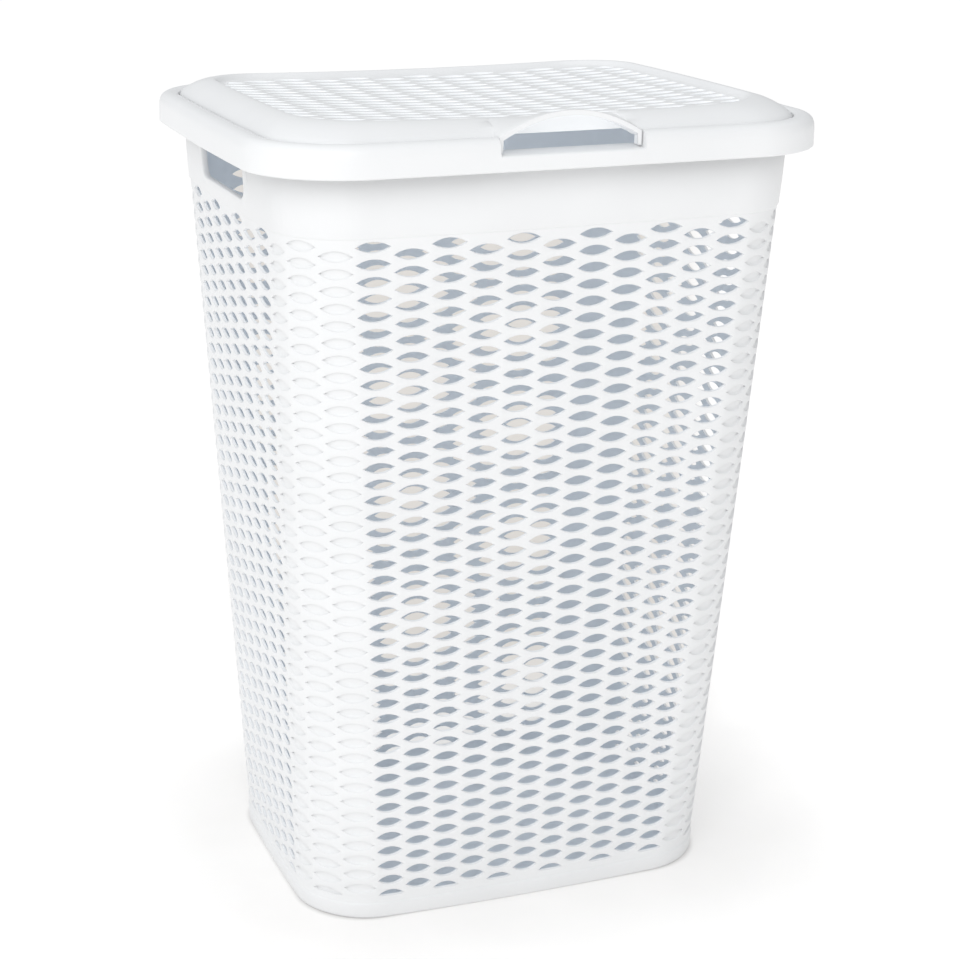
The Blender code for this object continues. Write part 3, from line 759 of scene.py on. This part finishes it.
def lid_rings():
    """The lid's outer and inner rings, from its edge to the panel."""
    leg_out, leg_in = HOOD_HALF, HOOD_HALF - HOOD_LEG
    extra = (leg_out + HOOD_DRAFT, leg_out, leg_in, leg_in - HOOD_DRAFT, *HOOD_COLUMNS)
    front = front_stations(extra)
    points, normals = outline(RIM_HALF_X, RIM_HALF_Y, RIM_RADIUS, front)
    crest_flat = CREST_HALF_X - CREST_RADIUS
    crest_front = front * crest_flat / (RIM_HALF_X - RIM_RADIUS)
    crests, _ = outline(CREST_HALF_X, CREST_HALF_Y, CREST_RADIUS, crest_front)
    outers, inners = [], []
    for point, normal, spot in zip(points, normals, crests):
        crest = np.array([*spot, crest_z(spot[0])])
        across = abs(point[0]) if normal[1] > 0.99 else 1.0
        outer, inner = lid_sections(point, normal, crest, across < leg_out + 0.0002,
                                    across > leg_in - 0.0002)
        outers.append(outer)
        inners.append(inner)
    outer_rings = [np.array(r) for r in zip(*outers)]
    inner_rings = [np.array(r) for r in zip(*inners)]
    crest_ring = outer_rings[-1]
    for share, drop in CREST_ROUNDING:
        flat = crest_ring[:, :2] * share
        outer_rings.append(np.column_stack([flat, crest_z(flat[:, 0]) - drop]))
    flat = crest_ring[:, :2] * PANEL_SHARE
    z = panel_z(flat[:, 0], flat[:, 1])
    outer_rings.append(np.column_stack([flat, z]))
    inner_rings.append(np.column_stack([flat, z - LID_WALL]))
    return outer_rings, inner_rings


def add_panel(faces, outer_edge, inner_edge):
    """The lid's slotted panel between the border's last rings."""
    slots = panel_slots()
    top = [slot_loop(slot, 0.0005) for slot in slots]
    loop_fill(faces, outer_edge[:, :2], top, panel_z, 0)
    under = [slot_loop(slot, -0.0001) for slot in slots]
    loop_fill(faces, inner_edge[:, :2], under, lambda x, y: panel_z(x, y) - LID_WALL, 1)
    for slot, start, end in zip(slots, top, under):
        levels = ((start, 0.0), (slot_loop(slot, 0.00013), 0.00014), (slot_loop(slot, 0.0), 0.0005),
                  (end, LID_WALL))
        made = [np.column_stack([loop, panel_z(loop[:, 0], loop[:, 1]) - drop]) for loop, drop in levels]
        # Slot walls take finish 2, the painted glow.
        for lower, upper in zip(made, made[1:]):
            faces.strip(lower, upper, 2)


def lid():
    faces = Faces()
    outer_rings, inner_rings = lid_rings()
    for lower, upper in zip(outer_rings, outer_rings[1:]):
        faces.strip(lower, upper, 0)
    # The lip's and hood's inner faces take the painted glow (finish 2); the rest of the underside takes the
    # painted blue shade (finish 1).
    for number, (lower, upper) in enumerate(zip(inner_rings, inner_rings[1:])):
        faces.strip(lower, upper, 2 if number < 4 else 1)
    faces.strip(outer_rings[0], inner_rings[0], 0)
    add_panel(faces, outer_rings[-1], inner_rings[-1])
    mesh = faces.mesh("lid_piece")
    tidy_normals(mesh)
    obj = add_piece("lid_draft", mesh, (LID, SHADED_UNDERSIDE, LID_EDGE_GLOW))
    axis_y, axis_z = HINGE["pos_m"][1:]
    root_y, end_y = axis_y + AXIS_INSET - LID_START - ARM_OVERLAP, axis_y - ARM_END
    low_z, high_z = axis_z - ARM_UNDER, axis_z + ARM_OVER
    tools = []
    for sign in (-1, 1):
        x = sign * HINGE_X
        arm = prism([(root_y, low_z), (end_y, low_z), (end_y, high_z), (root_y, high_z)], x, ARM_HALF)
        eye = prism(axis_circle(KNUCKLE_RADIUS), x, KNUCKLE_HALF)
        bore = prism(axis_circle(BORE_RADIUS), x, BORE_IN_KNUCKLE_HALF)
        boolean(obj, arm, "UNION")
        boolean(obj, eye, "UNION")
        boolean(obj, bore, "DIFFERENCE")
        tools += [arm, eye, bore]
    return settle(obj, tools, "lid_shell", (LID, SHADED_UNDERSIDE, LID_EDGE_GLOW), sharp=38)


# ---- finishes -------------------------------------------------------------------------------------
def plastic(name, low, high, roughness, grain=0.02, gloss=0.5):
    """Moulded plastic: faint cloudiness in the colour, uneven gloss and a very fine grain."""
    made = bpy.data.materials.new(name)
    made.use_nodes = True
    tree = made.node_tree
    shader = tree.nodes["Principled BSDF"]
    coords = tree.nodes.new("ShaderNodeTexCoord")
    cloud = tree.nodes.new("ShaderNodeTexNoise")
    cloud.inputs["Scale"].default_value = 14
    cloud.inputs["Detail"].default_value = 3
    ramp = tree.nodes.new("ShaderNodeValToRGB")
    ramp.color_ramp.elements[0].position, ramp.color_ramp.elements[1].position = 0.35, 0.65
    ramp.color_ramp.elements[0].color = (*low, 1)
    ramp.color_ramp.elements[1].color = (*high, 1)
    gloss_range = tree.nodes.new("ShaderNodeMapRange")
    gloss_range.inputs["To Min"].default_value = roughness - 0.04
    gloss_range.inputs["To Max"].default_value = roughness + 0.04
    fine = tree.nodes.new("ShaderNodeTexNoise")
    fine.inputs["Scale"].default_value = 1400
    bump = tree.nodes.new("ShaderNodeBump")
    bump.inputs["Strength"].default_value = grain
    bump.inputs["Distance"].default_value = 0.0002
    link = tree.links.new
    link(coords.outputs["Object"], cloud.inputs["Vector"])
    link(coords.outputs["Object"], fine.inputs["Vector"])
    link(cloud.outputs["Fac"], ramp.inputs["Fac"])
    link(cloud.outputs["Fac"], gloss_range.inputs["Value"])
    link(ramp.outputs["Color"], shader.inputs["Base Color"])
    link(gloss_range.outputs["Result"], shader.inputs["Roughness"])
    link(fine.outputs["Fac"], bump.inputs["Height"])
    link(bump.outputs["Normal"], shader.inputs["Normal"])
    shader.inputs["Specular IOR Level"].default_value = gloss
    shader.inputs["IOR"].default_value = 1.49
    return made


def painted_glow(made, strength):
    """Paints light onto a slot's edge: an emission glow that brightens edges sitting in shade, standing in
    for light that thin plastic lets through.
    """
    shader = made.node_tree.nodes["Principled BSDF"]
    shader.inputs["Emission Color"].default_value = (0.95, 0.98, 1.0, 1)
    shader.inputs["Emission Strength"].default_value = strength
    return made


BASKET = plastic("basket_white", (0.80, 0.805, 0.81), (0.82, 0.825, 0.83), 0.42)
# Painted shade: the basket's inner faces are a blue-tinted copy of the white plastic, so the interior seen
# through the slots reads blue-grey.
SHADED_INSIDE = plastic("basket_inside_painted_shade", (0.83, 0.875, 0.925), (0.85, 0.895, 0.945), 0.55)
COLLAR = plastic("rim_white", (0.81, 0.815, 0.82), (0.83, 0.835, 0.84), 0.40)
LID = plastic("lid_white", (0.81, 0.815, 0.82), (0.83, 0.835, 0.84), 0.40)
# Painted shade: the lid's underside is a blue-tinted copy of the white plastic.
SHADED_UNDERSIDE = plastic("lid_underside_painted_shade", (0.80, 0.84, 0.89), (0.82, 0.86, 0.91), 0.50)
# Painted light: the lid's slot edges and the inner side of its lip and hood glow, so they read bright where
# they sit in shade.
LID_EDGE_GLOW = painted_glow(plastic("lid_edge_painted_glow", (0.82, 0.83, 0.84), (0.84, 0.85, 0.86), 0.45), 0.20)
# Painted light: the basket's slot edges glow faintly so they read bright inside the slots.
BASKET_EDGE_GLOW = painted_glow(plastic("basket_edge_painted_glow", (0.82, 0.83, 0.84), (0.84, 0.85, 0.86), 0.45), 0.09)
PIN = plastic("pin_white", (0.76, 0.77, 0.78), (0.79, 0.80, 0.81), 0.45)


# ---- floor, light, camera -------------------------------------------------------------------------
def product_of_spans(tree, spans, interpolation="SMOOTHSTEP"):
    """Multiplies map ranges, each given as (source, from low, from high, to low, to high)."""
    total = None
    for source, *limits in spans:
        span = tree.nodes.new("ShaderNodeMapRange")
        span.interpolation_type = interpolation
        for name, value in zip(("From Min", "From Max", "To Min", "To Max"), limits):
            span.inputs[name].default_value = value
        tree.links.new(source, span.inputs["Value"])
        if total is None:
            total = span.outputs["Result"]
            continue
        product = tree.nodes.new("ShaderNodeMath")
        product.operation = "MULTIPLY"
        tree.links.new(total, product.inputs[0])
        tree.links.new(span.outputs["Result"], product.inputs[1])
        total = product.outputs["Value"]
    return total


def contact_shade(tree, position):
    """A socket that is 1 on open floor and falls towards the basket's foot."""
    link = tree.links.new
    steps = (("SUBTRACT", (0, BASE_SHIFT_Y, 0)), ("ABSOLUTE", None),
             ("SUBTRACT", (BASE_HALF_X - BASE_RADIUS, BASE_HALF_Y - BASE_RADIUS, 0)), ("MAXIMUM", (0, 0, 0)),
             ("LENGTH", None))
    for operation, value in steps:
        node = tree.nodes.new("ShaderNodeVectorMath")
        node.operation = operation
        link(position, node.inputs[0])
        if value:
            node.inputs[1].default_value = value
        position = node.outputs["Value" if operation == "LENGTH" else "Vector"]
    return product_of_spans(tree, [(position, BASE_RADIUS, BASE_RADIUS + reach, least, 1.0)
                                   for reach, least in SHADE])


def floor():
    """A large pale floor; behind the hamper a painted shadow makes it a little darker and warmer, as a front
    light would, and painted shade darkens it at the basket's foot.
    """
    mesh = bpy.data.meshes.new("floor")
    corners = [(x * FLOOR_HALF, y * FLOOR_HALF, 0) for x, y in ((-1, -1), (1, -1), (1, 1), (-1, 1))]
    mesh.from_pydata(corners, [], [(0, 1, 2, 3)])
    made = plastic("floor_paper", (0.62, 0.61, 0.60), (0.64, 0.63, 0.62), 0.9, gloss=0.0)
    tree = made.node_tree
    link = tree.links.new
    shader = tree.nodes["Principled BSDF"]
    coords = tree.nodes.new("ShaderNodeTexCoord")
    place = tree.nodes.new("ShaderNodeMapping")
    place.vector_type = "TEXTURE"
    place.inputs["Location"].default_value = SHADOW_WEDGE_ORIGIN
    place.inputs["Rotation"].default_value = (0, 0, math.pi / 2 - AZIMUTH)
    split = tree.nodes.new("ShaderNodeSeparateXYZ")
    link(coords.outputs["Object"], place.inputs["Vector"])
    link(place.outputs["Vector"], split.inputs["Vector"])
    slope = tree.nodes.new("ShaderNodeMath")
    slope.operation = "DIVIDE"
    link(split.outputs["Y"], slope.inputs[0])
    link(split.outputs["X"], slope.inputs[1])
    # Mask of the painted shadow wedge behind the hamper.
    spans = [(slope.outputs["Value"], low, high, 0.0, 1.0) for low, high in SHADOW_WEDGE_SLOPES]
    spans += [(split.outputs["X"], low, high, 0.0, 1.0) for low, high in SHADOW_WEDGE_REACHES]
    total = product_of_spans(tree, spans)
    ramp = tree.nodes.new("ShaderNodeValToRGB")
    ramp.color_ramp.elements[0].color = FLOOR_GLOW
    ramp.color_ramp.elements[1].color = SHADOW_WEDGE_GLOW
    link(total, ramp.inputs["Fac"])
    link(ramp.outputs["Color"], shader.inputs["Emission Color"])
    link(contact_shade(tree, coords.outputs["Object"]), shader.inputs["Emission Strength"])
    mesh.materials.append(made)
    obj = bpy.data.objects.new("floor", mesh)
    obj.location.z = -FLOOR_CLEARANCE
    bpy.context.scene.collection.objects.link(obj)


def key_light():
    """One large soft light in front, on the left and above."""
    data = bpy.data.lights.new("key", "AREA")
    data.shape = "RECTANGLE"
    data.size, data.size_y = KEY_SIZE
    data.energy = KEY_POWER
    obj = bpy.data.objects.new("key", data)
    obj.location = (CAD_LOW + CAD_HIGH) / 2 + KEY_PLACE
    obj.rotation_euler = (-KEY_PLACE).to_track_quat("-Z", "Y").to_euler()
    bpy.context.scene.collection.objects.link(obj)


def world():
    """A soft dome: brightest behind the camera, dimmer overhead and on the right."""
    made = bpy.data.worlds.new("studio")
    made.use_nodes = True
    tree = made.node_tree
    background = tree.nodes["Background"]
    coords = tree.nodes.new("ShaderNodeTexCoord")
    spans = []
    for direction, low, high in DOME:
        dot = tree.nodes.new("ShaderNodeVectorMath")
        dot.operation = "DOT_PRODUCT"
        dot.inputs[1].default_value = direction
        tree.links.new(coords.outputs["Generated"], dot.inputs[0])
        spans.append((dot.outputs["Value"], -1.0, 1.0, low, high))
    background.inputs["Color"].default_value = DOME_COLOUR
    tree.links.new(product_of_spans(tree, spans, "LINEAR"), background.inputs["Strength"])
    bpy.context.scene.world = made


def camera():
    data = bpy.data.cameras.new("camera")
    data.sensor_width = 36
    data.lens = CAMERA_LENS
    data.shift_x, data.shift_y = CAMERA_SHIFT
    data.clip_end = 200
    obj = bpy.data.objects.new("camera", data)
    obj.location = CAMERA_TARGET + BACK * CAMERA_DISTANCE
    obj.rotation_mode = "QUATERNION"
    obj.rotation_quaternion = BACK.to_track_quat("Z", "Y")
    bpy.context.scene.collection.objects.link(obj)
    bpy.context.scene.camera = obj


def main():
    made = basket()
    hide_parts("basket_body")
    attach(made, "basket")
    made = rim()
    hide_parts("rim_collar")
    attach(made, "basket")
    made = lid()
    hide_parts("lid")
    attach(made, "lid")
    for name in ("hinge_pin_left", "hinge_pin_right"):
        node = frame["nodes"][name]
        for index in range(len(node.data.materials)):
            node.data.materials[index] = PIN
    floor()
    world()
    key_light()
    camera()
    bpy.context.scene.view_settings.view_transform = "Standard"


main()
